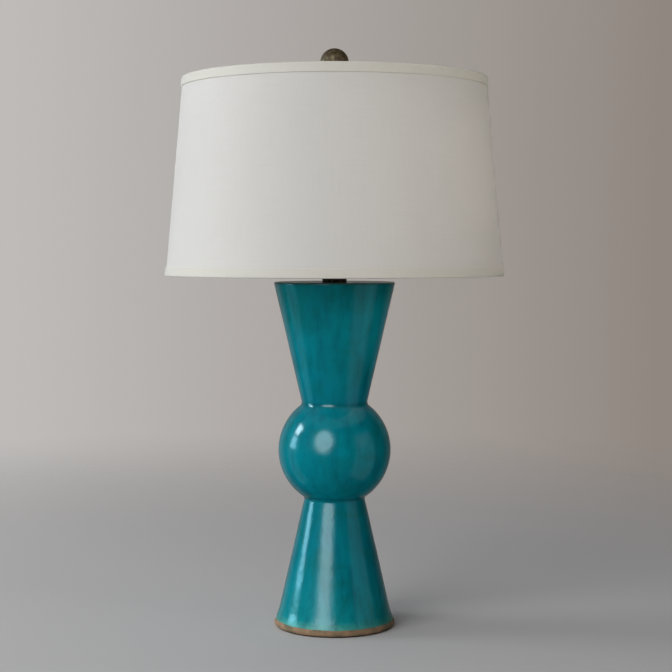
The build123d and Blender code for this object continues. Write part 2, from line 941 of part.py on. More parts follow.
def finial_washer():
    return disc(
        finial_washer_radius,
        finial_washer_bottom_z,
        finial_washer_bottom_z + finial_washer_thickness,
        finial_washer_hole_radius,
    )


def finial_neck():
    foot_top = finial_bottom_z + finial_neck_foot
    spigot_top = finial_neck_top_z + finial_spigot_height
    cove = ThreePointArc(
        (finial_neck_base_radius - finial_neck_step, foot_top),
        (finial_neck_waist_radius, (foot_top + finial_neck_top_z) / 2),
        (finial_neck_top_radius, finial_neck_top_z),
    )
    rest = Polyline(
        (finial_neck_top_radius, finial_neck_top_z),
        (finial_spigot_radius, finial_neck_top_z),
        (finial_spigot_radius, spigot_top),
        (0, spigot_top),
        (0, finial_bore_top_z),
        (finial_bore_radius, finial_bore_top_z),
        (finial_bore_radius, finial_bottom_z),
        (finial_neck_base_radius, finial_bottom_z),
        (finial_neck_base_radius, foot_top),
        (finial_neck_base_radius - finial_neck_step, foot_top),
    )
    return turned(make_face(cove + rest))


def finial_ball():
    ball = Pos(0, finial_ball_z) * Circle(finial_ball_radius)
    ball = ball & band(
        0, finial_ball_radius, finial_neck_top_z, finial_ball_z + finial_ball_radius
    )
    socket_top = finial_neck_top_z + finial_spigot_height + slip_fit
    return turned(ball - band(0, finial_spigot_radius + slip_fit, finial_neck_top_z, socket_top))


# ---------------------------------------------------------------------------- export

nodes = {
    "felt_pad": felt_pad(),
    "ceramic_body": ceramic_body(),
    "bottom_plate": bottom_plate(),
    "flat_washer": flat_washer(),
    "lock_washer": lock_washer(),
    "pipe_nut": pipe_nut(),
    "lamp_pipe": lamp_pipe(),
    "cord_bushing": cord_bushing(),
    "neck_collar": neck_collar(),
    "check_ring": check_ring(),
    "harp_saddle": harp_saddle(),
    "pipe_locknut": pipe_locknut(),
    "socket_cap": socket_cap(),
    "socket_set_screw": socket_set_screw(),
    "socket_shell": socket_shell(),
    "socket_liner": socket_liner(),
    "socket_core": socket_core(),
    "terminal_screws": terminal_screws(),
    "screw_shell": screw_shell(),
    "centre_contact": centre_contact(),
    "switch_shaft": switch_shaft(),
    "switch_knob": switch_knob(),
    "bulb_contact": bulb_contact(),
    "bulb_screw_cap": bulb_screw_cap(),
    "bulb_housing": bulb_housing(),
    "bulb_dome": bulb_dome(),
    "harp": harp(),
    "harp_ferrule_left": harp_ferrule(-1),
    "harp_ferrule_right": harp_ferrule(1),
    "swivel_stud": swivel_stud(),
    "shade_liner": shade_liner(),
    "shade_fabric": shade_fabric(),
    "shade_seam": shade_seam(),
    "top_trim": top_trim(),
    "bottom_trim": bottom_trim(),
    "top_ring": rim_ring(top_ring_z),
    "bottom_ring": rim_ring(bottom_ring_z),
    "spider_arms": spider_arms(),
    "spider_hub": spider_hub(),
    "finial_washer": finial_washer(),
    "finial_neck": finial_neck(),
    "finial_ball": finial_ball(),
}

os.makedirs("parts", exist_ok=True)
for name, solid in nodes.items():
    export_step(solid, f"parts/{name}.step")

print("nodes:", len(nodes))
print("height:", round(finial_ball_z + finial_ball_radius, 2))
print("ball centre and upper neck heights:", round(ball_z, 2), round(upper_neck_z, 2))
print("body top height:", round(body_top_z, 2))
print("shade from", round(shade_bottom_z, 2), "to", round(shade_top_z, 2))
print("cord bore mouth:", cord_plane.origin, "axis:", cord_plane.z_dir)
print("bulb top:", round(bulb_centre_z + bulb_radius, 2))
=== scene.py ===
# %% [markdown]
# # A table lamp with a drum shade
#
# The lamp has a slip-cast ceramic body, a linen shade on a wire harp, and a ball finial.
# Its CAD model is already packed: every hard part is there at its true size and place, and
# on the body that it moves with. This lesson dresses that model. It keeps the parts whose
# shape is right and gives them a finish, and it makes new pieces for the glazed body, the
# finial's ball and everything that is cloth.

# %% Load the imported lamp
import math

import bmesh
import bpy
from mathutils import Matrix, Vector, noise


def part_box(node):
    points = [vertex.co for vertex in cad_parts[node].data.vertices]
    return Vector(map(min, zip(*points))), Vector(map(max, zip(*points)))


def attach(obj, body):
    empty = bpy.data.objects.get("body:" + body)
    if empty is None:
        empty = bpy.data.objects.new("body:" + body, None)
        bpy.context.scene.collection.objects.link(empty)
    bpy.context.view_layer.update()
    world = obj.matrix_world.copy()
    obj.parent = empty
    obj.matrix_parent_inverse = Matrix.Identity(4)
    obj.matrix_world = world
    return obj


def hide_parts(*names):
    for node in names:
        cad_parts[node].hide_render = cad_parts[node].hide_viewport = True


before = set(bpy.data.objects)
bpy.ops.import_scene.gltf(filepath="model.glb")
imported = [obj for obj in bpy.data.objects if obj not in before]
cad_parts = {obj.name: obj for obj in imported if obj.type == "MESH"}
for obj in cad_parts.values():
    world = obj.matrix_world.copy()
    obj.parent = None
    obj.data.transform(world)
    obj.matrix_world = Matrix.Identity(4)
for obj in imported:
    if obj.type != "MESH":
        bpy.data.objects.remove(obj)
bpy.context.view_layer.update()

# %% [markdown]
# ## Camera, floor and light
#
# A product picture of a lamp is taken with a long lens, a little above the middle, so that
# the shade's sides hardly converge. The floor is one pale disc that fades out, so there is
# no horizon behind the lamp. Linen looks calm under large soft lights, while a glossy glaze
# mirrors the shape of each light. So every light here does one of two jobs. Three of them
# light the matt surfaces, mostly from the left. Six are seen only as reflections: two
# window panes, a round bank with a dimmer rim, and a card on each side.

# %% Camera
MM = 0.001
camera_data = bpy.data.cameras.new("camera")
camera_data.lens = 84.1
camera_data.sensor_width = 36.0
camera = bpy.data.objects.new("camera", camera_data)
bpy.context.scene.collection.objects.link(camera)
camera.location = (2 * MM, -2126 * MM, 511.3 * MM)
LOOKS_DOWN = 3.135  # degrees
camera.rotation_euler = (math.radians(90 - LOOKS_DOWN), 0, 0)
bpy.context.scene.camera = camera
# the plain view transform, so that a finish has the colour it was given
bpy.context.scene.view_settings.view_transform = "Standard"
print("camera", tuple(round(c, 3) for c in camera.location), "lens", camera_data.lens)


# %% Helpers for every finish
def tint(code):
    """An sRGB hex colour as the linear colour that a shader works with."""
    channels = [int(code[i : i + 2], 16) / 255 for i in (1, 3, 5)]
    linear = [c / 12.92 if c <= 0.04045 else ((c + 0.055) / 1.055) ** 2.4 for c in channels]
    return (*linear, 1.0)


def add(material, kind, inputs=None, **options):
    """Adds one node. An input is a plain value, or another node's output that is joined to it."""
    node = material.node_tree.nodes.new("ShaderNode" + kind)
    for key, value in options.items():
        setattr(node, key, value)
    for key, item in (inputs or {}).items():
        if isinstance(item, bpy.types.NodeSocket):
            material.node_tree.links.new(item, node.inputs[key])
        else:
            node.inputs[key].default_value = item
    return node


def mix(material, share, first, second, kind="RGBA", blend="MIX"):
    """Blends two colours, or two floats; share is how much of the second there is."""
    # a Mix node has sockets for every kind of value: these are a colour's and a float's
    a, b, result = {"RGBA": (6, 7, 2), "FLOAT": (2, 3, 0)}[kind]
    node = add(material, "Mix", {0: share, a: first, b: second}, data_type=kind, blend_type=blend)
    return node.outputs[result]


def remap(material, value, low, high, to_low=0.0, to_high=1.0, ease="LINEAR"):
    """Turns the span from low to high into the span from to_low to to_high, with hard ends."""
    inputs = {"Value": value, "From Min": low, "From Max": high, "To Min": to_low, "To Max": to_high}
    return add(material, "MapRange", inputs, interpolation_type=ease).outputs[0]


def cloudy(material, where, scale, detail=2.0, roughness=0.5, distortion=0.0, space="3D"):
    """A noise from 0 to 1, with this many patches to a metre."""
    inputs = {"Vector": where, "Scale": scale, "Detail": detail, "Roughness": roughness,
              "Distortion": distortion}
    return add(material, "TexNoise", inputs, noise_dimensions=space).outputs[0]


def colour_ramp(material, share, stops):
    """Colours at their positions from 0 to 1, with even blends between them."""
    node = add(material, "ValToRGB", {0: share})
    for position, _ in stops[1:-1]:
        node.color_ramp.elements.new(position)
    for element, (position, code) in zip(node.color_ramp.elements, stops):
        element.position = position
        element.color = tint(code)
    return node.outputs[0]


def calculate(material, operation, *numbers):
    """One operation on outputs and plain values."""
    return add(material, "Math", dict(enumerate(numbers)), operation=operation).outputs[0]


def raised(material, height, depth, strength=1.0, under=None):
    """A relief this many millimetres deep, over the relief under it if there is one."""
    inputs = {"Height": height, "Distance": depth * MM, "Strength": strength}
    if under is not None:
        inputs["Normal"] = under
    return add(material, "Bump", inputs).outputs[0]


def stretched(material, where, scale):
    """Coordinates multiplied along each axis."""
    return add(material, "Mapping", {"Vector": where, "Scale": scale}).outputs[0]


def new_finish(name):
    """An empty material with the object's own coordinates, in metres, ready to use."""
    material = bpy.data.materials.new(name)
    material.use_nodes = True
    material.node_tree.nodes.clear()
    return material, add(material, "TexCoord").outputs["Object"]


def close_finish(material, inputs):
    """Ends a material in one principled shader."""
    shader = add(material, "BsdfPrincipled", inputs)
    add(material, "OutputMaterial", {"Surface": shader.outputs[0]})
    return material


print("linear grey of #808080:", round(tint("#808080")[0], 3))

# %% World: a warm grey room, brighter on the left
world = bpy.data.worlds.new("warm_grey_room")
bpy.context.scene.world = world
world.use_nodes = True
world.node_tree.nodes.clear()
direction = add(world, "TexCoord").outputs["Generated"]
axes = add(world, "SeparateXYZ", {0: direction}).outputs
# what the camera sees behind the lamp
across = remap(world, axes["X"], -0.2, 0.2)
wall = mix(world, across, tint("#BEBBB9"), tint("#908780"))
# what lights matt surfaces: soft all round, falling off to the right
side = remap(world, axes["X"], -1.0, 1.0)
soft = mix(world, side, tint("#B2B3B6"), tint("#3A3632"))
# what gloss mirrors: the wall behind the lamp, and a dim room in front of it
depth = remap(world, axes["Y"], 0.45, 0.85, ease="SMOOTHSTEP")
far_wall = mix(world, side, tint("#8E8C8A"), tint("#3A3836"))
mirrored = mix(world, depth, tint("#0C1516"), far_wall)
ray = add(world, "LightPath").outputs
lit = mix(world, ray["Is Glossy Ray"], soft, mirrored)
shown = mix(world, ray["Is Camera Ray"], lit, wall)
backdrop = add(world, "Background", {"Strength": 1.0, "Color": shown})
add(world, "OutputWorld", {"Surface": backdrop.outputs[0]})
print("world made:", world.name)


# %% Soft lights
def soft_light(name, seen_in, azimuth, height, distance, width, tall, power, colour,
               shape="RECTANGLE", aimed=0.35, spread=180):
    """An area light aimed at a height on the lamp's axis. Lengths are in metres, and azimuth 0
    is at the camera, 90 on the right. It is seen either in gloss, as a mirrored shape, or on
    matt surfaces, as plain light."""
    data = bpy.data.lights.new(name, "AREA")
    data.shape = shape
    data.size = width
    data.size_y = tall
    data.energy = power
    data.spread = math.radians(spread)
    data.color = tint(colour)[:3]
    light = bpy.data.objects.new(name, data)
    bpy.context.scene.collection.objects.link(light)
    turn = math.radians(azimuth)
    light.location = (distance * math.sin(turn), -distance * math.cos(turn), height)
    aim = Vector((0, 0, aimed)) - light.location
    light.rotation_euler = aim.to_track_quat("-Z", "Y").to_euler()
    light.visible_glossy = seen_in == "gloss"
    light.visible_diffuse = seen_in == "matt"
    print(name, "at", tuple(round(c, 2) for c in light.location), power, "W, seen in", seen_in)


# what the cloth, the clay and the floor get
soft_light("left_fill", "matt", -40, 1.5, 3.0, 2.4, 2.4, 47, "#FFFFFF")
soft_light("left_wash", "matt", -95, 1.2, 2.6, 1.0, 2.0, 19, "#F4FAFF")
soft_light("right_lift", "matt", 60, 0.78, 1.4, 0.5, 0.4, 0.35, "#FFF6EA", aimed=0.585, spread=38)
# what the glaze and the metals mirror: window panes, a bank in two steps, a card on each side
soft_light("window_lower", "gloss", -94, 0.7, 2.6, 0.75, 0.8, 14, "#A4E6FF")
soft_light("window_upper", "gloss", -95, 1.7, 2.6, 0.7, 0.8, 24, "#D0F2FF")
soft_light("round_bank", "gloss", -23, 1.3, 2.6, 1.7, 2.2, 26, "#F0FCFF", "ELLIPSE")
soft_light("wide_bank", "gloss", -23, 1.3, 2.7, 2.4, 2.9, 22, "#DCF6FF", "ELLIPSE")
soft_light("left_card", "gloss", -98, -0.4, 2.7, 1.3, 4.0, 8, "#8CD8EC")
soft_light("right_card", "gloss", 66, -0.1, 2.6, 2.3, 4.4, 13, "#A8CCDC")

# %% Floor
FLOOR_R, SOLID_TO, GONE_BY = 3.0, 0.35, 2.4  # metres from the lamp
floor_mesh = bmesh.new()
bmesh.ops.create_circle(floor_mesh, cap_ends=True, segments=96, radius=FLOOR_R)
floor_data = bpy.data.meshes.new("floor")
floor_mesh.to_mesh(floor_data)
floor_mesh.free()
floor = bpy.data.objects.new("floor", floor_data)
bpy.context.scene.collection.objects.link(floor)
floor_finish, place = new_finish("pale_painted_board")
reach = add(floor_finish, "VectorMath", {0: place}, operation="LENGTH").outputs["Value"]
fade = remap(floor_finish, reach, SOLID_TO, GONE_BY, 1.0, 0.0, ease="SMOOTHSTEP")
close_finish(floor_finish, {"Base Color": tint("#D8D6D5"), "Roughness": 0.9,
                            "Specular IOR Level": 0.1, "Alpha": fade})
floor_data.materials.append(floor_finish)
# the glaze mirrors the dim room and not the floor, as on a small table
floor.visible_glossy = False
print("floor", len(floor_data.polygons), "face, fades out at", GONE_BY, "m")

# %% [markdown]
# ## Turned shapes
#
# A slip-cast body, a felt disc, a shade and a ball are all round, so each starts as one
# thin line of edges: half of its section. A corner is rounded while it is still one vertex
# on that line, which is much easier than rounding a ring of faces later. Then the line is
# spun round the lamp's axis. A full spin leaves the first and last column on top of each
# other, and a pole made of many points, so doubles are merged and the normals made to
# point outwards before anything else is done.


# %% Lines, rounds and spins
def add_points(mesh, points):
    """Vertices at (radius, height) points in millimetres."""
    return [mesh.verts.new((radius * MM, 0, height * MM)) for radius, height in points]


def join_up(mesh, corners):
    """An edge from each corner to the next."""
    for start, end in zip(corners, corners[1:]):
        mesh.edges.new((start, end))


def section_line(points, closed=False):
    """A bmesh with one run of edges through (radius, height) points, and its corners."""
    mesh = bmesh.new()
    corners = add_points(mesh, points)
    join_up(mesh, corners + corners[:1] if closed else corners)
    return mesh, corners


def round_corner(mesh, corner, radius, segments):
    """Rounds one corner of a line to a radius in millimetres."""
    ways = [(edge.other_vert(corner).co - corner.co).normalized() for edge in corner.link_edges]
    half_angle = ways[0].angle(ways[1]) / 2
    bmesh.ops.bevel(mesh, geom=[corner], offset=radius * MM / math.tan(half_angle),
                    affect="VERTICES", segments=segments, profile=0.5, material=-1)


def divide(mesh, longest):
    """Divides every edge of a line that is longer than this many millimetres."""
    for edge in list(mesh.edges):
        cuts = math.ceil(edge.calc_length() / (longest * MM)) - 1
        if cuts > 0:
            bmesh.ops.subdivide_edges(mesh, edges=[edge], cuts=cuts)


def spin_round(mesh, steps):
    """Spins a line all the way round the lamp's axis and closes its seam and poles."""
    bmesh.ops.spin(mesh, geom=mesh.verts[:] + mesh.edges[:], cent=(0, 0, 0), axis=(0, 0, 1),
                   dvec=(0, 0, 0), angle=math.tau, steps=steps, use_merge=True,
                   use_normal_flip=False, use_duplicate=False)
    bmesh.ops.remove_doubles(mesh, verts=mesh.verts[:], dist=0.002 * MM)
    bmesh.ops.recalc_face_normals(mesh, faces=mesh.faces[:])


def spin_arc(mesh, corner, centre_height, angle, steps):
    """Spins one vertex about a ball's centre and returns the arc's last vertex."""
    made = bmesh.ops.spin(mesh, geom=[corner], cent=(0, 0, centre_height * MM), axis=(0, 1, 0),
                          dvec=(0, 0, 0), angle=angle, steps=steps)
    return [item for item in made["geom_last"] if isinstance(item, bmesh.types.BMVert)][0]


def smooth_step(low, high, value):
    """0 below low, 1 above high, and an even rise between."""
    share = min(max((value - low) / (high - low), 0.0), 1.0)
    return share * share * (3 - 2 * share)


def finish_piece(mesh, name, material, body, sharp=35):
    """Turns a bmesh into a smooth-shaded piece that rides on a CAD body."""
    data = bpy.data.meshes.new(name)
    mesh.to_mesh(data)
    mesh.free()
    data.polygons.foreach_set("use_smooth", [True] * len(data.polygons))
    data.set_sharp_from_angle(angle=math.radians(sharp))
    data.materials.append(material)
    piece = bpy.data.objects.new(name, data)
    bpy.context.scene.collection.objects.link(piece)
    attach(piece, body)
    low, high = Vector(piece.bound_box[0]), Vector(piece.bound_box[6])
    print(name, len(data.polygons), "faces,", [round(c / MM, 1) for c in high - low], "mm")
    return piece


# %% [markdown]
# ## The glaze
#
# The body is stoneware with a reactive glaze: glass coloured with copper, which runs a
# little in the kiln. It is deep teal where it is thick, and lighter and greener where it is
# thin, at the foot. Its darker bands in the creases and at the top edge are partly glass
# that pools in the creases and thins at the edge, and partly painted shade. Above the thin
# foot, its brightness by height is partly painted light and shade. It runs downwards, so
# its streaks are long in height and short around. The potter wipes it off the foot so that
# the lamp doesn't fuse to the kiln shelf, and that leaves a band of bare brown clay with a
# slightly wavy edge. One material holds both: a mask by height tells glass from clay.

# %% Reactive glaze over stoneware
# heights in millimetres above the table
GLAZE_LINE, GLAZE_TOP = 9.8, 470
CREASES, CREASE_SHADE_REACH = (177.0, 304.0), 5.0
glaze, place = new_finish("reactive_copper_glaze_on_stoneware")
height = add(glaze, "SeparateXYZ", {0: place}).outputs["Z"]

# the edge of the glaze waves by a millimetre over every 25 mm or so
edge_wave = cloudy(glaze, place, 40.0)
wavy_height = calculate(glaze, "MULTIPLY_ADD", edge_wave, 1.8 * MM, height)
is_glass = remap(glaze, wavy_height, (GLAZE_LINE + 0.7) * MM, (GLAZE_LINE + 1.2) * MM)

# the colour of the glass by height: greener where it is thin at the foot; the stops above are partly
# painted light and shade, set band by band
glass_tone_and_light_by_height = colour_ramp(glaze, remap(glaze, height, 0.0, GLAZE_TOP * MM), [
    (0.025, "#3FA79B"), (0.042, "#0A9AA3"), (0.16, "#008C9A"), (0.36, "#00808E"),
    (0.52, "#008E9C"), (0.66, "#008293"), (0.84, "#008C9A"), (1.0, "#00868E"),
])

# runs about 12 mm apart and 120 mm long
runs = cloudy(glaze, stretched(glaze, place, (85.0, 85.0, 8.0)), 1.0, 5.0, 0.6)
run_share = remap(glaze, runs, 0.42, 0.72, to_high=0.55)
with_runs = mix(glaze, run_share, glass_tone_and_light_by_height, tint("#005C70"))

# cloudy greener patches about 45 mm across
clouds = cloudy(glaze, place, 22.0, 6.0, 0.62, 0.7)
cloud_share = remap(glaze, clouds, 0.48, 0.78, to_high=0.6)
clouds_and_crease_shade = mix(glaze, cloud_share, with_runs, tint("#00665C"))

# darker in the two creases: partly glass that pools there, partly painted shade where the body overhangs
# them
for crease_height in CREASES:
    above = calculate(glaze, "SUBTRACT", height, crease_height * MM)
    apart = calculate(glaze, "ABSOLUTE", above)
    crease_pool_and_shade = remap(glaze, apart, 0.0, CREASE_SHADE_REACH * MM, 0.4, 0.0, ease="SMOOTHSTEP")
    clouds_and_crease_shade = mix(glaze, crease_pool_and_shade, clouds_and_crease_shade, tint("#04454C"))

# darker at the top edge: partly the glass drawing back so the brown body shows through, partly painted
# shade under the shade's rim
top_edge_break_and_shade = remap(glaze, wavy_height, 465.6 * MM, 467.8 * MM, to_high=0.75)
glass_colour = mix(glaze, top_edge_break_and_shade, clouds_and_crease_shade, tint("#2C3B33"))

# bare clay: warm brown with iron specks of 1 to 2 mm and olive smoke marks
smoke = cloudy(glaze, place, 60.0, 5.0)
clay = colour_ramp(glaze, smoke, [(0.38, "#7A6A4C"), (0.62, "#A98463")])
iron = cloudy(glaze, place, 650.0)
speck_share = remap(glaze, iron, 0.6, 0.68, to_high=0.5)
clay_colour = mix(glaze, speck_share, clay, tint("#4E3A2A"))
body_colour = mix(glaze, is_glass, clay_colour, glass_colour)

# glass is smooth with a faint cloudiness and duller where it is thin at the foot; clay is dull
gloss = remap(glaze, clouds, 0.0, 1.0, 0.08, 0.2)
thin = remap(glaze, height, 8 * MM, 30 * MM, 0.32, 0.0, ease="SMOOTHSTEP")
duller = calculate(glaze, "MAXIMUM", gloss, thin)
roughness = mix(glaze, is_glass, 0.85, duller, "FLOAT")

# the skin of the glass: slow dips of 12 mm, the runs, and ripples of 3 mm, strongest low down
dips = raised(glaze, cloudy(glaze, place, 70.0, 1.0), 0.2)
run_relief = raised(glaze, runs, 0.12, under=dips)
calm = remap(glaze, height, 170 * MM, 200 * MM, 1.0, 0.2)
ripples = raised(glaze, cloudy(glaze, place, 330.0), 0.16, calm, under=run_relief)
is_clay = calculate(glaze, "SUBTRACT", 1.0, is_glass)
grit = raised(glaze, cloudy(glaze, place, 1500.0, 3.0), 0.2, is_clay, under=ripples)
close_finish(glaze, {"IOR": 1.55, "Base Color": body_colour, "Roughness": roughness, "Normal": grit})
print("glaze has", len(glaze.node_tree.nodes), "nodes")

# %% [markdown]
# ## The ceramic body
#
# The real body is cast in a plaster mould: liquid clay dries against the plaster and leaves
# a wall about 7 mm thick, so it is hollow. It could be two spun skins, but one closed line,
# up the outside and down the inside, gives the wall, the top, the foot and the ledge for
# the bottom plate at once. The ball is a vertex spun about the ball's own centre. The
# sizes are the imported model's. Kiln and mould leave the surface slightly uneven, so after
# the spin the points move in and out by a quarter of a millimetre, but not where the
# collar, the felt and the cord bushing sit.

# %% The body's section
# radii and heights in millimetres
FOOT_R, FOOT_Z, RIM_Z = 82.0, 1.6, 5.2
FLARE_R, FLARE_Z = 77.0, 16.0
LOW_NECK_R, LOW_NECK_Z = 40.5, 175.7
BALL_R, BALL_Z = 76.2, 240.25
HIGH_NECK_R, HIGH_NECK_Z = 43.7, 302.67
TOP_R, TOP_Z = 82.2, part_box("ceramic_body")[1].z / MM
WALL_MM, CEILING_Z, LEDGE_Z, FLOOR_Z = 7.0, TOP_Z - 8.0, 15.6, 21.6
PIPE_HOLE_R, LEDGE_R, RECESS_R = 5.4, 52.0, 66.0
INSIDE_R = BALL_R - WALL_MM
STRAIGHT = 5.5  # degrees of the ball, next to each crease, that the crease's round takes up


def on_ball(angle, radius):
    """A point on a ball round the body's ball centre, this many degrees from straight up."""
    turn = math.radians(angle)
    return (radius * math.sin(turn), BALL_Z + radius * math.cos(turn))


def ball_angle(neck_radius, ball_radius):
    """How many degrees from its pole a ball is as wide as a neck."""
    return math.degrees(math.asin(neck_radius / ball_radius))


low_angle, high_angle = 180 - ball_angle(LOW_NECK_R, BALL_R), ball_angle(HIGH_NECK_R, BALL_R)
inner_low = 180 - ball_angle(LOW_NECK_R - WALL_MM, INSIDE_R)
inner_high = ball_angle(HIGH_NECK_R - WALL_MM, INSIDE_R)
body_mesh, lower = section_line([
    (RECESS_R, LEDGE_Z), (RECESS_R, FOOT_Z), (FOOT_R, FOOT_Z), (FOOT_R, RIM_Z),
    (FLARE_R, FLARE_Z), (LOW_NECK_R, LOW_NECK_Z), on_ball(low_angle - STRAIGHT, BALL_R),
])
ball_end = spin_arc(body_mesh, lower[-1], BALL_Z,
                    math.radians(high_angle - low_angle + 2 * STRAIGHT), 44)
upper = add_points(body_mesh, [
    (HIGH_NECK_R, HIGH_NECK_Z), (TOP_R, TOP_Z), (PIPE_HOLE_R, TOP_Z), (PIPE_HOLE_R, CEILING_Z),
    (TOP_R - WALL_MM - 1.8, CEILING_Z), (HIGH_NECK_R - WALL_MM, HIGH_NECK_Z),
    on_ball(inner_high, INSIDE_R),
])
join_up(body_mesh, [ball_end] + upper)
inner_end = spin_arc(body_mesh, upper[-1], BALL_Z, math.radians(inner_low - inner_high), 24)
inside = add_points(body_mesh, [
    (LOW_NECK_R - WALL_MM, LOW_NECK_Z), (FLARE_R - WALL_MM - 1.3, FLOOR_Z),
    (LEDGE_R, FLOOR_Z), (LEDGE_R, LEDGE_Z),
])
join_up(body_mesh, [inner_end] + inside + lower[:1])
print("section:", len(body_mesh.verts), "points,", len(body_mesh.edges), "edges")

# %% Rounds and spin
foot_corner, foot_rim, flare, low_crease = lower[2:6]
high_crease, top_corner = upper[:2]
for corner, radius, segments in [
    (foot_corner, 2.4, 5), (foot_rim, 3.0, 5), (flare, 90.0, 12),
    (low_crease, 5.0, 7), (high_crease, 7.0, 8), (top_corner, 2.2, 6),
]:
    round_corner(body_mesh, corner, radius, segments)
divide(body_mesh, 3.6)
spin_round(body_mesh, 160)
print("body spun:", len(body_mesh.faces), "faces")


# %% Cord hole
def cut_away(mesh, cutter):
    """The mesh with the cutter's shape taken out of it; both are bmeshes and are used up."""
    objects = []
    for name, shape in [("blank", mesh), ("cutter", cutter)]:
        data = bpy.data.meshes.new(name)
        shape.to_mesh(data)
        shape.free()
        objects.append(bpy.data.objects.new(name, data))
        bpy.context.scene.collection.objects.link(objects[-1])
    cut = objects[0].modifiers.new("hole", "BOOLEAN")
    cut.operation = "DIFFERENCE"
    cut.object = objects[1]
    shaped = objects[0].evaluated_get(bpy.context.evaluated_depsgraph_get())
    result = bmesh.new()
    result.from_mesh(shaped.to_mesh())
    shaped.to_mesh_clear()
    for thing in objects:
        data = thing.data
        bpy.data.objects.remove(thing)
        bpy.data.meshes.remove(data)
    return result


CORD_Z, CORD_HOLE_R, CUTTER_LONG = 34.0, 5.2, 28
cord_tilt = math.atan2(FLARE_R - LOW_NECK_R, LOW_NECK_Z - FLARE_Z)
cord_y = LOW_NECK_R + math.tan(cord_tilt) * (LOW_NECK_Z - CORD_Z)
cord_place = Vector((0, cord_y, CORD_Z)) * MM
cutter_mesh = bmesh.new()
bmesh.ops.create_cone(cutter_mesh, cap_ends=True, segments=40, radius1=CORD_HOLE_R * MM,
                      radius2=CORD_HOLE_R * MM, depth=CUTTER_LONG * MM)
bmesh.ops.rotate(cutter_mesh, verts=cutter_mesh.verts[:], cent=(0, 0, 0),
                 matrix=Matrix.Rotation(cord_tilt - math.pi / 2, 3, "X"))
bmesh.ops.translate(cutter_mesh, verts=cutter_mesh.verts[:], vec=cord_place)
before = len(body_mesh.faces)
body_mesh = cut_away(body_mesh, cutter_mesh)
print("cord hole cut:", before, "faces became", len(body_mesh.faces))

# %% Uneven surface and the rolled edge of the glaze
SLOW_WAVE, QUICK_WAVE, GLAZE_BEAD = 0.28, 0.12, 0.12  # how far each moves a point, mm
body_mesh.normal_update()
moved = 0.0
for vert in body_mesh.verts:
    z = vert.co.z / MM
    from_cord = (vert.co - cord_place).length / MM
    # nothing moves at the foot, at the collar, round the cord hole or inside
    free = smooth_step(7, 12, z) * (1 - smooth_step(460, 466, z))
    free *= smooth_step(9.5, 20, from_cord)
    free *= 1.0 if vert.normal.x * vert.co.x + vert.normal.y * vert.co.y > 0 else 0.0
    wave = SLOW_WAVE * noise.noise(vert.co * 16) + QUICK_WAVE * noise.noise(vert.co * 45)
    bead = GLAZE_BEAD * smooth_step(GLAZE_LINE - 0.6, GLAZE_LINE + 0.8, z)
    bead *= 1 - smooth_step(16, 26, z)
    shift = (wave * free + bead * smooth_step(9.5, 14, from_cord)) * MM
    vert.co += vert.normal * shift
    moved = max(moved, abs(shift))
ceramic = finish_piece(body_mesh, "glazed_ceramic_body", glaze, "base", sharp=40)
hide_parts("ceramic_body")
print("largest move", round(moved / MM, 3), "mm")

# %% [markdown]
# ## Linen
#
# The shade is linen glued on a stiff plastic sheet, so it is smooth and taut, but linen
# yarn is uneven: here and there a thread is twice as thick for a few centimetres. These
# slubs, along and across, are what tells linen from cotton. The pattern has to go round
# the shade with the cloth, so each cloth piece gets its own UV map, in metres: across is
# the way round, and up is the height. The real threads are 0.5 mm apart. The weave here
# has a thread every 0.8 mm, because finer than that nothing of it would show.

# %% A linen finish
THREAD = 0.8 * MM


def linen(name, light, dark_tone_and_gap_shade):
    """Plain-woven flax cloth with slubs; it reads a UV map in metres."""
    cloth, place = new_finish(name)
    way = add(cloth, "UVMap", uv_map="cloth").outputs[0]
    threads = stretched(cloth, way, (1 / THREAD, 1 / THREAD, 1.0))
    # over and under: a checkerboard says which of the two threads is on top
    over = add(cloth, "TexChecker", {"Vector": threads, "Scale": 1.0}).outputs["Fac"]
    parts = add(cloth, "SeparateXYZ", {0: threads}).outputs
    waves = [calculate(cloth, "SINE", calculate(cloth, "MULTIPLY", parts[axis], math.pi))
             for axis in ("X", "Y")]
    rounds = [calculate(cloth, "ABSOLUTE", wave) for wave in waves]
    weave = mix(cloth, over, rounds[0], rounds[1], "FLOAT")
    # slubs: 0.9 mm wide and about 60 mm long, both ways
    yarns = [cloudy(cloth, stretched(cloth, way, scale), 1.0, space="2D")
             for scale in [(1100.0, 16.0, 1.0), (16.0, 1100.0, 1.0)]]
    slub = calculate(cloth, "MAXIMUM", *[remap(cloth, yarn, 0.5, 0.8) for yarn in yarns])
    # colour: painted shade in the gaps between threads, slubs a little darker, and a slow cloudy tone
    tone = cloudy(cloth, place, 9.0, 3.0)
    gap_shade = remap(cloth, weave, 0.0, 1.0, 0.28, 0.0)
    dark = calculate(cloth, "MULTIPLY_ADD", slub, 0.07, gap_shade)
    tone_and_gap_shade = calculate(cloth, "MULTIPLY_ADD", tone, 0.12, dark)
    thickness = calculate(cloth, "MULTIPLY_ADD", slub, 0.7, weave)
    return close_finish(cloth, {
        "Base Color": mix(cloth, tone_and_gap_shade, tint(light), tint(dark_tone_and_gap_shade)),
        "Normal": raised(cloth, thickness, 0.1, 0.5),
        "Roughness": 0.92, "Specular IOR Level": 0.25, "Sheen Weight": 0.15, "Sheen Roughness": 0.5,
    })


shade_linen = linen("woven_flax_linen", "#E9E7E3", "#A6A29A")
trim_linen = linen("folded_flax_linen_trim", "#E9E7DE", "#A49D8F")
print("linen threads", round(THREAD / MM, 2), "mm apart")


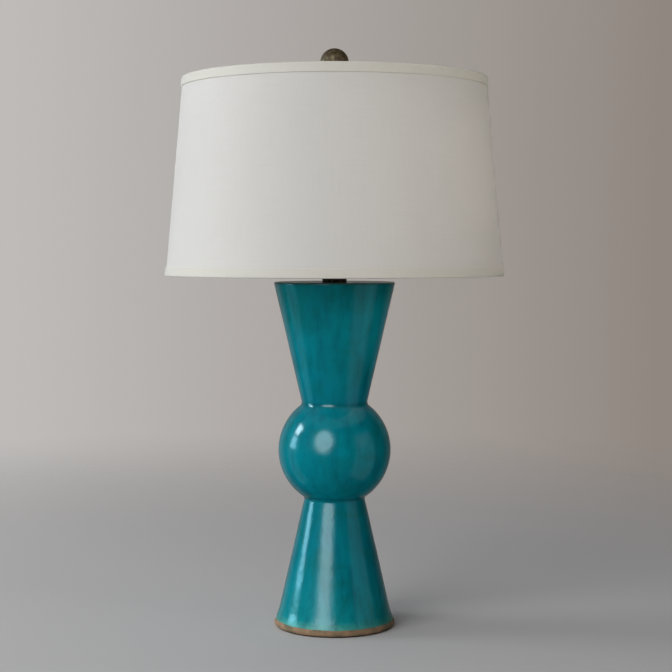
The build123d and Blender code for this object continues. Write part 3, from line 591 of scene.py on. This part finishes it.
# %% A map for cloth
def cloth_map(piece):
    """Gives a round cloth piece a UV map in metres: across is the way round, up is the height."""
    data = piece.data
    layer = data.uv_layers.new(name="cloth")
    radius = max(vert.co.xy.length for vert in data.vertices)
    for face in data.polygons:
        places = [data.vertices[data.loops[i].vertex_index].co for i in face.loop_indices]
        # the cut in the map is at the back, where the shade's own seam is
        turns = [math.atan2(place.x, -place.y) for place in places]
        wraps = max(turns) - min(turns) > math.pi
        for i, turn, place in zip(face.loop_indices, turns, places):
            turn += math.tau if wraps and turn < 0 else 0.0
            layer.data[i].uv = (turn * radius, place.z)
    print(piece.name, "map", round(math.tau * radius, 3), "m round")


# %% [markdown]
# ## The shade's cloth
#
# The side is one piece cut as part of a ring, because an unrolled cone is a ring sector.
# It could be a single skin with Solidify, but its edges go inside the folded trims, so a
# thin closed section spun round is just as short and its edges are clean. At the back the
# two ends overlap by 12 mm and are glued: that strip is a piece of its own.

# %% Side cloth and overlap
# radii, heights and thicknesses in millimetres
SHADE_Z, SHADE_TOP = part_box("bottom_trim")[0].z / MM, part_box("top_trim")[1].z / MM
SHADE_R, SHADE_TOP_R = 228.6, 204.8
TRIM, CLOTH, FOLD = 1.6, 0.5, 1.0
OVERLAP, TRIM_TALL = 12.0, 12.7
slope = (SHADE_R - SHADE_TOP_R) / (SHADE_TOP - SHADE_Z)


def shade_r(z, inset):
    """The shade's radius at a height, this far in from the trims."""
    return SHADE_R - slope * (z - SHADE_Z) - inset


def layer_section(inset, low, high):
    """The closed section of one layer of cloth on the shade's side."""
    mesh, _ = section_line([
        (shade_r(low, inset), low), (shade_r(high, inset), high),
        (shade_r(high, inset + CLOTH), high), (shade_r(low, inset + CLOTH), low),
    ], closed=True)
    divide(mesh, 24)
    return mesh


side_mesh = layer_section(TRIM, SHADE_Z + FOLD, SHADE_TOP - FOLD)
spin_round(side_mesh, 240)
side_cloth = finish_piece(side_mesh, "shade_side_cloth", shade_linen, "shade")
cloth_map(side_cloth)
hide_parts("shade_fabric")

seam_mesh = layer_section(TRIM - CLOTH, SHADE_Z + TRIM_TALL, SHADE_TOP - TRIM_TALL)
overlap_angle = OVERLAP / SHADE_R
bmesh.ops.rotate(seam_mesh, verts=seam_mesh.verts[:], cent=(0, 0, 0),
                 matrix=Matrix.Rotation(math.pi / 2 - overlap_angle / 2, 3, "Z"))
bmesh.ops.spin(seam_mesh, geom=seam_mesh.verts[:] + seam_mesh.edges[:], cent=(0, 0, 0),
               axis=(0, 0, 1), dvec=(0, 0, 0), angle=overlap_angle, steps=8)
bmesh.ops.holes_fill(seam_mesh, edges=[edge for edge in seam_mesh.edges if edge.is_boundary])
bmesh.ops.recalc_face_normals(seam_mesh, faces=seam_mesh.faces[:])
seam = finish_piece(seam_mesh, "shade_seam_overlap", shade_linen, "shade")
cloth_map(seam)
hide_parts("shade_seam")

# %% [markdown]
# ## The folded trims
#
# Each rim has a strip of the same linen, folded over the rim wire and glued inside and
# out. It stands proud of the side by its own folded edge, and that edge throws the fine
# shadow line that shows where the trim ends. The strip is pulled by hand, so its edge
# wanders by a few tenths of a millimetre.

# %% Trims
LINER, SLIP, WIRE_R = 0.7, 0.1, 2.0  # the stiff sheet, a gap between parts, the rim wire
HEM, INNER_TALL, INNER_THICK = 0.9, 9.0, 0.7  # the fold at the rim and the part inside, mm
CUT_WANDER, CUT_JITTER, SWELL = 0.28, 0.12, 0.12  # how far hand work moves a point, mm


def wander(way, turns, other):
    """A noise that goes round the shade with the cloth."""
    return noise.noise(Vector((way.x * turns, way.y * turns, other)))


def folded_trim(name, edge, inwards, node):
    """A linen strip folded over one rim; inwards is 1 at the bottom rim and -1 at the top."""
    inner = TRIM + CLOTH + LINER + SLIP + WIRE_R + WIRE_R + SLIP
    places = [
        (0, 0), (0, TRIM_TALL), (TRIM, TRIM_TALL), (TRIM, HEM), (inner, HEM),
        (inner, INNER_TALL), (inner + INNER_THICK, INNER_TALL), (inner + INNER_THICK, 0),
    ]
    line = [(shade_r(edge + inwards * z, inset), edge + inwards * z) for inset, z in places]
    mesh, corners = section_line(line, closed=True)
    for index, radius, segments in [(0, 2.0, 7), (1, 0.7, 4), (7, 2.0, 6), (6, 0.3, 2)]:
        round_corner(mesh, corners[index], radius, segments)
    divide(mesh, 3.5)
    spin_round(mesh, 300)
    for vert in mesh.verts:
        way = vert.co.xy.normalized()
        pull = wander(way, 9, edge) * CUT_WANDER + wander(way, 38, edge) * CUT_JITTER
        from_rim = abs(vert.co.z / MM - edge)
        at_cut = smooth_step(8, TRIM_TALL, from_rim)
        vert.co.z += pull * at_cut * MM
        swell = wander(way, 22, from_rim * 0.06 + edge) * SWELL
        vert.co.xy += way * swell * (1 - at_cut * 0.5) * MM
    piece = finish_piece(mesh, name, trim_linen, "shade", sharp=50)
    cloth_map(piece)
    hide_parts(node)
    return piece


top_fold = folded_trim("top_folded_trim", SHADE_TOP, -1, "top_trim")
bottom_fold = folded_trim("bottom_folded_trim", SHADE_Z, 1, "bottom_trim")

# %% [markdown]
# ## Felt under the foot
#
# A disc of pressed wool felt is glued under the foot so that the lamp doesn't scratch the
# table. Felt has no weave: it is matted fibre, so its finish is two noises, a fine one for
# the fibres and a slow one for uneven dye.

# %% Felt disc
felt_finish, place = new_finish("pressed_wool_felt")
fibres = cloudy(felt_finish, place, 1400.0, 4.0, distortion=1.5)
dye = cloudy(felt_finish, place, 45.0, 3.0)
wool = mix(felt_finish, fibres, tint("#2B2621"), tint("#4A433B"))
close_finish(felt_finish, {
    "Base Color": mix(felt_finish, 0.4, wool, dye, blend="MULTIPLY"),
    "Normal": raised(felt_finish, fibres, 0.25, 0.7), "Roughness": 1.0, "Sheen Weight": 0.3,
})
FELT_R, FELT_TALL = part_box("felt_pad")[1].x / MM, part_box("felt_pad")[1].z / MM
felt_mesh, corners = section_line([(0, 0), (FELT_R, 0), (FELT_R, FELT_TALL), (0, FELT_TALL)])
round_corner(felt_mesh, corners[2], 0.6, 4)
divide(felt_mesh, 8)
spin_round(felt_mesh, 128)
felt = finish_piece(felt_mesh, "felt_disc", felt_finish, "base", sharp=60)
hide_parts("felt_pad")

# %% [markdown]
# ## Metals
#
# The neck collar and the finial have an antique bronze finish: brass darkened with acid
# and rubbed back, so it is brown-black in the hollows and olive or golden where fingers
# and cloth wear it. The harp, the socket and the spider hub are antique brass plate, the
# nuts are plain brass, and the bottom plate is zinc-plated steel. They are one idea with
# different values: two tones shared out by a patchy noise, and a roughness that follows
# it. A metal's colour is its reflection, so the tone does most of the work. The finial is
# only partly metallic, because its wax and patina hide the brass under them.


# %% Rubbed and plated metals
def rubbed_metal(name, worn, dark, patch, share, smooth, dull, pit, metallic=1.0):
    """Metal in two tones. Patch is the size of its patches and pit the depth of its pits, both
    in mm; share is how much of it is dark, from 0 to 1."""
    metal, place = new_finish(name)
    patches = cloudy(metal, place, 1 / (patch * MM), 5.0, 0.65)
    darkness = remap(metal, patches, 0.62 - share / 2, 0.78 - share / 2)
    grain = cloudy(metal, place, 1 / (patch * MM) * 5, 3.0)
    return close_finish(metal, {
        "Base Color": mix(metal, darkness, tint(worn), tint(dark)),
        "Roughness": remap(metal, darkness, 0.0, 1.0, smooth, dull),
        "Normal": raised(metal, grain, pit, 0.6), "Metallic": metallic,
    })


finishes = {
    "antique_bronze": rubbed_metal(
        "darkened_bronze_plate", "#5A4A36", "#2A211A", 5, 0.5, 0.38, 0.62, 0.05),
    "finial_bronze": rubbed_metal(
        "mottled_olive_bronze", "#88775A", "#5E4B35", 5, 0.5, 0.46, 0.62, 0.06, 0.6),
    "antique_brass": rubbed_metal(
        "antique_brass_plate", "#A8894F", "#5E4826", 6, 0.3, 0.28, 0.5, 0.02),
    "hardware_brass": rubbed_metal(
        "turned_plain_brass", "#D2B46A", "#A98B48", 3, 0.2, 0.22, 0.4, 0.02),
    "plated_steel": rubbed_metal(
        "zinc_plated_steel", "#B9BCBB", "#8E9294", 8, 0.2, 0.3, 0.48, 0.02),
    "nickel_shell": rubbed_metal(
        "drawn_nickel_shell", "#CFCBC2", "#9D9A92", 5, 0.2, 0.2, 0.36, 0.02),
    "solder_contact": rubbed_metal(
        "tinned_solder", "#B5B5B0", "#83837F", 2, 0.3, 0.35, 0.55, 0.06),
}
print(len(finishes), "metal finishes")

# %% [markdown]
# ## Plastics, fibre and paint
#
# A moulded plastic takes its skin from the mould: even colour with a very fine spark
# texture, and a little more gloss where it is handled. Vulcanised fibre and phenolic are
# old socket insulators: one is pressed paper and cloudy, the other is near-black resin.
# The shade's wires are dipped in white paint, which is thin and slightly lumpy.

# %% Moulded and painted finishes
SPARK = 0.6  # size of the spark texture's grains, mm
GLOW_DEPTH = 2.0  # how deep light goes into a glowing plastic, mm


def moulded(name, light, dark, speckle, smooth, dull, texture, ior=1.5, glow=0.0):
    """Plastic, resin or paint in two near tones. Speckle is the size of its tone's clouds and
    texture the depth of its relief, both in mm."""
    skin, place = new_finish(name)
    tone = cloudy(skin, place, 1 / (speckle * MM), 4.0)
    spark = cloudy(skin, place, 1 / (SPARK * MM))
    return close_finish(skin, {
        "Base Color": mix(skin, tone, tint(light), tint(dark)),
        "Roughness": remap(skin, tone, 0.0, 1.0, smooth, dull),
        "Normal": raised(skin, spark, texture, 0.5),
        "IOR": ior, "Subsurface Weight": glow, "Subsurface Scale": GLOW_DEPTH * MM,
    })


finishes.update({
    "bushing_plastic": moulded(
        "moulded_nylon_bushing", "#35322F", "#23211F", 6, 0.35, 0.55, 0.03, 1.53),
    "fibre_liner": moulded("vulcanised_fibre", "#6B5138", "#4A3826", 4, 0.6, 0.8, 0.05),
    "phenolic": moulded("moulded_phenolic", "#3A2C26", "#241A16", 3, 0.3, 0.45, 0.02, 1.58),
    "knob_plastic": moulded(
        "moulded_black_knob", "#2B2927", "#1A1918", 5, 0.18, 0.32, 0.02, 1.53),
    "bulb_plastic": moulded(
        "moulded_white_housing", "#ECEBE7", "#DEDDD8", 8, 0.3, 0.45, 0.02, 1.58),
    "bulb_diffuser": moulded(
        "frosted_bulb_dome", "#F4F2EB", "#E9E6DD", 12, 0.38, 0.5, 0.03, 1.58, 0.25),
    "styrene_liner": moulded(
        "styrene_backing_sheet", "#EFEDE5", "#E4E1D7", 40, 0.42, 0.55, 0.02, 1.59),
    "shade_wire": moulded("white_dipped_wire", "#EDECE8", "#D6D4CE", 5, 0.35, 0.5, 0.06),
})
print(len(finishes), "finishes for the CAD parts")

# %% Give each CAD part its finish
new_pieces_stand_for = {"ceramic_body", "felt_pad", "shade_fabric", "shade_seam", "top_trim",
                        "bottom_trim", "finial_ball"}
dressed = {node: thing for node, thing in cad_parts.items() if node not in new_pieces_stand_for}
# the name of a packed slot can end in a dot and a number
slot_names = {node: thing.material_slots[0].material.name.split(".")[0] for node, thing in dressed.items()}
for node, thing in dressed.items():
    for slot in thing.material_slots:
        slot.material = finishes[slot_names[node]]
print(len(dressed), "CAD parts dressed")

# %% [markdown]
# ## The ball finial
#
# The finial is a solid-looking brass ball, cast and turned, then darkened. It is screwed
# down on the harp's stud and holds the shade. A cast surface is never quite even, so after
# the spin its points move by a few hundredths of a millimetre, and the patina does the
# rest. The line starts inside the socket that takes the neck, goes round the mouth and up
# over the ball to its pole.

# %% Ball
MOUTH_Z, BALL_TOP = [corner.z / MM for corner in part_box("finial_ball")]
FINIAL_R, MOUTH_R, SOCKET_R, SOCKET_DEEP, CAST_WAVE = 19.2, 6.0, 5.2, 10.1, 0.05
centre_z = BALL_TOP - FINIAL_R
finial_mesh, corners = section_line([
    (0, MOUTH_Z + SOCKET_DEEP), (SOCKET_R, MOUTH_Z + SOCKET_DEEP),
    (SOCKET_R, MOUTH_Z), (MOUTH_R, MOUTH_Z),
])
mouth_angle = math.pi - math.asin(MOUTH_R / FINIAL_R)
spin_arc(finial_mesh, corners[-1], centre_z, -mouth_angle, 64)
spin_round(finial_mesh, 128)
finial_centre = Vector((0, 0, centre_z * MM))
for vert in finial_mesh.verts:
    # only the outside moves, and not the mouth that meets the neck
    if vert.co.z > (MOUTH_Z + 1) * MM and vert.co.xy.length > (SOCKET_R + 0.2) * MM:
        outwards = (vert.co - finial_centre).normalized()
        vert.co += outwards * noise.noise(vert.co * 180) * CAST_WAVE * MM
finial = finish_piece(finial_mesh, "bronze_ball", finishes["finial_bronze"], "finial")
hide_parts("finial_ball")
